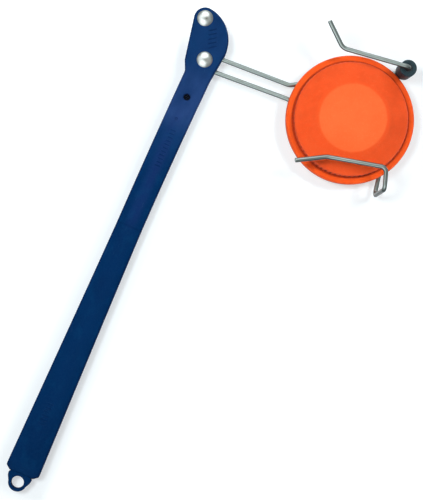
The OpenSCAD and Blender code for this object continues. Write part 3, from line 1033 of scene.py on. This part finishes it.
# x, y, z from the pivot, bend radius
ARM = [
    (83.1, 66.4, CAGE_Z + 7.0, 0),
    (102.5, 51.5, CAGE_Z, 9),
    (*ROLLER, CAGE_Z, 4.5),
    (*ROLLER, 0, 4.5),
    (75.15, 10.2, 0, 9),
    (*(LOOP_R * (ACROSS - ALONG)), 0, 6.2),
    (*(-LOOP_R * (ACROSS + ALONG)), 0, 6.2),
    (78.5, -1.25, 0, 9),
    (175.8, -22.5, 0, 7),
    (180.7, -47.4, 0, 5),
    (181.8, -42.1, CAGE_Z, 5),
    (175.8, -24.6, CAGE_Z, 5),
    (126.8, -36.5, CAGE_Z, 12),
    (103.4, -50.4, CAGE_Z + 4.2, 0),
]


def sweep(name, path, r, seg=24, chamfer=0.38):
    """A round wire along a path, carried without twist, with chamfered ends."""
    start = path[0] + unit(path[1] - path[0]) * chamfer
    end = path[-1] - unit(path[-1] - path[-2]) * chamfer
    path = [path[0], start] + path[1:-1] + [end, path[-1]]
    tip_r = r - chamfer * 0.8
    radii = [tip_r] + [r] * (len(path) - 2) + [tip_r]
    legs = [unit(b - a) for a, b in zip(path, path[1:])]
    tangents = [legs[0]] + [unit(a + b) for a, b in zip(legs, legs[1:])] + [legs[-1]]
    normal = np.array([0.0, 0.0, -1.0])
    normal = unit(normal - (normal @ tangents[0]) * tangents[0])
    verts, lay, run = [], [], 0.0
    for i, (point, tangent) in enumerate(zip(path, tangents)):
        normal = unit(normal - (normal @ tangent) * tangent)
        side = np.cross(tangent, normal)
        if i:
            run += np.linalg.norm(point - path[i - 1])
        for j in range(seg):
            a = 2 * math.pi * j / seg
            x, y, z = point + radii[i] * (normal * math.cos(a) + side * math.sin(a))
            verts.append((x + PIVOT_X, y + PIVOT_Y, z))
            lay.append((run * MM, math.cos(a), math.sin(a)))
    last = (len(path) - 1) * seg
    faces = []
    for i in range(0, last, seg):
        for j in range(seg):
            k = (j + 1) % seg
            faces.append([i + j, i + seg + j, i + seg + k, i + k])
    faces.append(list(range(seg)))
    faces.append([last + j for j in range(seg - 1, -1, -1)])
    return mesh_object(name, verts, faces, lay)


arm = sweep("throw_arm_wire", round_table(ARM, 5.0), WIRE_R)
dress(arm, WIRE, "arm", "throw_arm")


# ------------------------------------------------------------------ roller
def roller():
    """A ring with round shoulders and a fine groove round its middle."""
    z0, z1 = z_span("rubber_roller")
    r = half_size("rubber_roller")[0]
    corner = 1.15
    mid = (z0 + z1) / 2
    # r, z
    profile = [(3.1, z0 + 0.35), (3.35, z0 + 0.08), (3.7, z0)]
    profile += arc((r - corner, z0 + corner), corner, -math.pi / 2, 0, 7)
    profile += [(r, mid - 0.45), (r, mid - 0.2), (r - 0.12, mid), (r, mid + 0.2), (r, mid + 0.45)]
    profile += arc((r - corner, z1 - corner), corner, 0, math.pi / 2, 7)
    profile += [(4.9, z1 - 0.02), (4.6, z1 - 0.22), (3.8, z1 - 0.22), (3.45, z1 - 0.1),
                (3.1, z1 - 0.35)]
    ob = lathe("roller_rubber", profile, 72, (ROLLER_X, ROLLER_Y, 0), closed=True)
    dress(ob, RUBBER, "roller", "rubber_roller")


roller()


# ------------------------------------------------------------------ clay target
def target():
    z0, z1 = z_span("clay_target")
    r = half_size("clay_target")[0]
    h = z1 - z0
    dome = 28.8     # radius of the flat dome
    # r, z, corner radius: over the top, down to the rim and back up the inside
    rows = [
        (0, h, 0), (dome - 0.6, h - 0.4, 2.2), (dome + 0.8, h - 1.1, 2.2),
        (r - 8, h - 10.8, 1.1), (r - 6.8, h - 12, 1.1), (r - 6.2, 9.0, 0.25),
        (r - 5.6, 9.4, 0.35), (r - 0.9, 8.3, 0.9), (r, 6.8, 0.7), (r, 1.6, 0.5),
        (r - 0.6, 0, 0.25), (r - 4.2, 0, 0.35), (r - 5, 3.2, 0.8), (r - 9.8, 5.4, 0.9),
        (r - 10.6, h - 13.6, 1.2), (dome - 2.2, h - 3.9, 2.5), (0, h - 3.4, 0),
    ]
    wall_lo, wall_hi = 9.3, h - 12.2

    def ribs(radius, z, turn):
        """Upright ribs on the wall, fading out at its top and foot."""
        if not (r - 7.0 < radius < r - 6.0 and wall_lo < z < wall_hi):
            return 0.0
        fade = min(1.0, (z - wall_lo) / 0.8, (wall_hi - z) / 0.8)
        return 0.42 * fade * (abs(math.cos(turn * RIBS / 2)) ** 1.5 - 0.35)

    ob = lathe("clay_target_moulded", dense(round_table(rows, 14), 1.6), 576,
               (TARGET_X, TARGET_Y, z0), wave=ribs, angle=38)
    dress(ob, ORANGE, "target", "clay_target")


target()

# ------------------------------------------------------------------ kept CAD nodes
# node, material, bevel width
KEPT = [
    ("neck_screw", OXIDE, 0.10),
    ("pivot_tail_washer", ZINC, 0.12),
    ("stop_tail_washer", ZINC, 0.12),
    ("pivot_sleeve", ZINC, 0.12),
    ("stop_sleeve", ZINC, 0.12),
    ("front_thrust_washer", WHITE_NYLON, 0.08),
    ("back_thrust_washer", WHITE_NYLON, 0.08),
    ("roller_bush", BLACK_NYLON, 0.12),
]
for node, material, width in KEPT:
    ob = frame["nodes"][node]
    if len(ob.material_slots) == 0:
        ob.data.materials.append(material)
    for material_slot in ob.material_slots:
        material_slot.link = "OBJECT"
        material_slot.material = material
    bevel = ob.modifiers.new("edge", "BEVEL")
    bevel.width = width * MM
    bevel.segments = 2
    bevel.limit_method = "ANGLE"
    bevel.angle_limit = math.radians(40)
    bevel.harden_normals = False


# ------------------------------------------------------------------ stage, in metres
def floor_material():
    m = Material("pale_floor")
    o = m.place()
    cloud = m.noise(o, scale=35, rough=0.5)
    x, y, _ = m.split(o)
    # 0 under the target, the grip and the arm, 1 away from them
    dx = m.math("SUBTRACT", x, TARGET_X * MM)
    dy = m.math("SUBTRACT", y, TARGET_Y * MM)
    off_disc = m.ease(m.hypot(dx, dy), of=(0.072, 0.105))
    grip_y = (cad_lo[1] + PIVOT_Y * MM) / 2
    off_grip = m.math("MAXIMUM", m.ease(m.abs(x), of=(0.020, 0.040)),
                      m.ease(m.away(y, grip_y), of=(0.200, 0.232)))
    off_arm = m.math("MAXIMUM", m.ease(m.away(x, 0.050), of=(0.045, 0.070)),
                     m.ease(m.away(y, 0.390), of=(0.028, 0.050)))
    # the floor glows less there, which reads as a soft shadow
    glow = m.math("MINIMUM", m.span(off_disc, of=(0, 1), to=(0.53, 0.85)),
                  m.span(off_grip, of=(0, 1), to=(0.54, 0.85)))
    glow = m.math("MINIMUM", glow, m.span(off_arm, of=(0, 1), to=(0.56, 0.85)))
    col = m.paint(base=(180, 193, 198), coat=(183, 196, 201), by=m.span(cloud, of=(0.3, 0.7)))
    m.set(Base_Color=col, Roughness=0.95, Specular_IOR_Level=0.0,
          Emission_Color=(1, 1, 1, 1), Emission_Strength=glow)
    # seen from underneath, the floor lets the camera through to the back of the thrower
    below = m.mul(m.new("NewGeometry").outputs["Backfacing"],
                  m.new("LightPath").outputs["Is Camera Ray"])
    m.put(m.out.inputs[0], m.mix_shader(below, m.shader, m.new("BsdfTransparent")))
    return m.block


def floor():
    half = 7.0
    z = cad_lo[2] - 0.0002
    corners = [(-half, -half, z), (half, -half, z), (half, half, z), (-half, half, z)]
    me = bpy.data.meshes.new("floor")
    me.from_pydata(corners, [], [[0, 1, 2, 3]])
    ob = bpy.data.objects.new("floor", me)
    scene.collection.objects.link(ob)
    me.materials.append(floor_material())
    ob.visible_shadow = False


floor()

STAGE_MIDDLE = Vector((72.85 * MM, 249.35 * MM, 0))


def in_view(right, up, z=0.0):
    """A place or direction given along the view's right and up, and Z."""
    return VIEW_RIGHT * right + VIEW_UP * up + Vector((0, 0, z))


def area(name, at, aim, size, power, spread):
    """A disc light. at and aim are in_view places, measured from the stage's middle."""
    light = bpy.data.lights.new(name, "AREA")
    light.shape = "DISK"
    light.size = size
    light.energy = power
    light.spread = math.radians(spread)
    ob = bpy.data.objects.new(name, light)
    ob.location = STAGE_MIDDLE + in_view(*at)
    toward = STAGE_MIDDLE + in_view(*aim) - ob.location
    ob.rotation_mode = "QUATERNION"
    ob.rotation_quaternion = toward.to_track_quat("-Z", "Y")
    ob.visible_camera = False
    ob.visible_glossy = False
    scene.collection.objects.link(ob)


area("key_left", at=(-0.39, 0.20, 1.15), aim=(-0.10, -0.04), size=0.32, power=3.15, spread=110)
area("key_right", at=(0.62, 0.34, 1.20), aim=(0.13, 0.12), size=0.26, power=0.25, spread=33)
area("under_fill", at=(0.0, 0.0, -1.1), aim=(0, 0), size=0.5, power=4.0, spread=160)

# What polished parts mirror besides the pale room, in linear colour.
# direction (right, up), cosine to it where the patch starts and is full, strength, colour
ROOM_PATCHES = [
    ((-0.55, -0.80), (0.76, 0.96), 1.0, (2.1, 2.16, 2.18, 1)),      # soft box, lower left
    ((0.05, 1.15), (0.78, 0.96), 1.0, (2.35, 2.41, 2.44, 1)),       # soft box, above
    ((-1.00, 0.35), (0.86, 0.97), 0.8, (1.5, 1.53, 1.55, 1)),       # soft box, left
    ((0.26, 0.10), (0.925, 0.985), 0.85, (0.24, 0.225, 0.18, 1)),   # dark camera overhead
]


def world():
    block = bpy.data.worlds.new("studio")
    scene.world = block
    w = Nodes(block)
    out = w.new("OutputWorld")
    direction = w.new("TexCoord").outputs["Generated"]
    ramp = w.new("ValToRGB", w.split(direction)["Z"])
    elements = ramp.color_ramp.elements
    elements[0].color = (0.24, 0.24, 0.24, 1)       # at the horizon and below
    elements[1].color = (0.60, 0.63, 0.63, 1)       # straight up
    elements.new(0.35).color = (0.40, 0.42, 0.42, 1)
    room = ramp.outputs[0]
    for toward, reach, strength, colour in ROOM_PATCHES:
        near = w.dot(direction, in_view(*toward, 1.0).normalized())
        room = w.mix(w.ease(near, of=reach, to=(0, strength)), room, colour)
    mirrored = w.fill(w.new("Background"), Color=room, Strength=1.0)
    # what lights matt parts
    plain = w.fill(w.new("Background"), Color=(0.98, 0.99, 1.0, 1), Strength=0.22)
    glossy = w.new("LightPath").outputs["Is Glossy Ray"]
    w.put(out.inputs[0], w.mix_shader(glossy, plain, mirrored))


world()


def camera():
    """Looks almost straight down at the front."""
    data = bpy.data.cameras.new("camera")
    data.sensor_width = 36.0
    data.lens = 92.172
    data.clip_start = 0.05
    data.clip_end = 20.0
    ob = bpy.data.objects.new("camera", data)
    scene.collection.objects.link(ob)
    right = Vector((0.915369, 0.401869, 0.022348)).normalized()
    backward = Vector((-0.024592, 0.000422, 0.999697)).normalized()
    up = backward.cross(right).normalized()
    ob.location = (0.04526, 0.2494, 1.10027)
    ob.rotation_mode = "QUATERNION"
    ob.rotation_quaternion = Matrix((right, up, backward)).transposed().to_quaternion()
    scene.camera = ob


camera()

scene.view_settings.view_transform = "Standard"
scene.view_settings.look = "None"
scene.view_settings.exposure = 0.0
scene.view_settings.gamma = 1.0
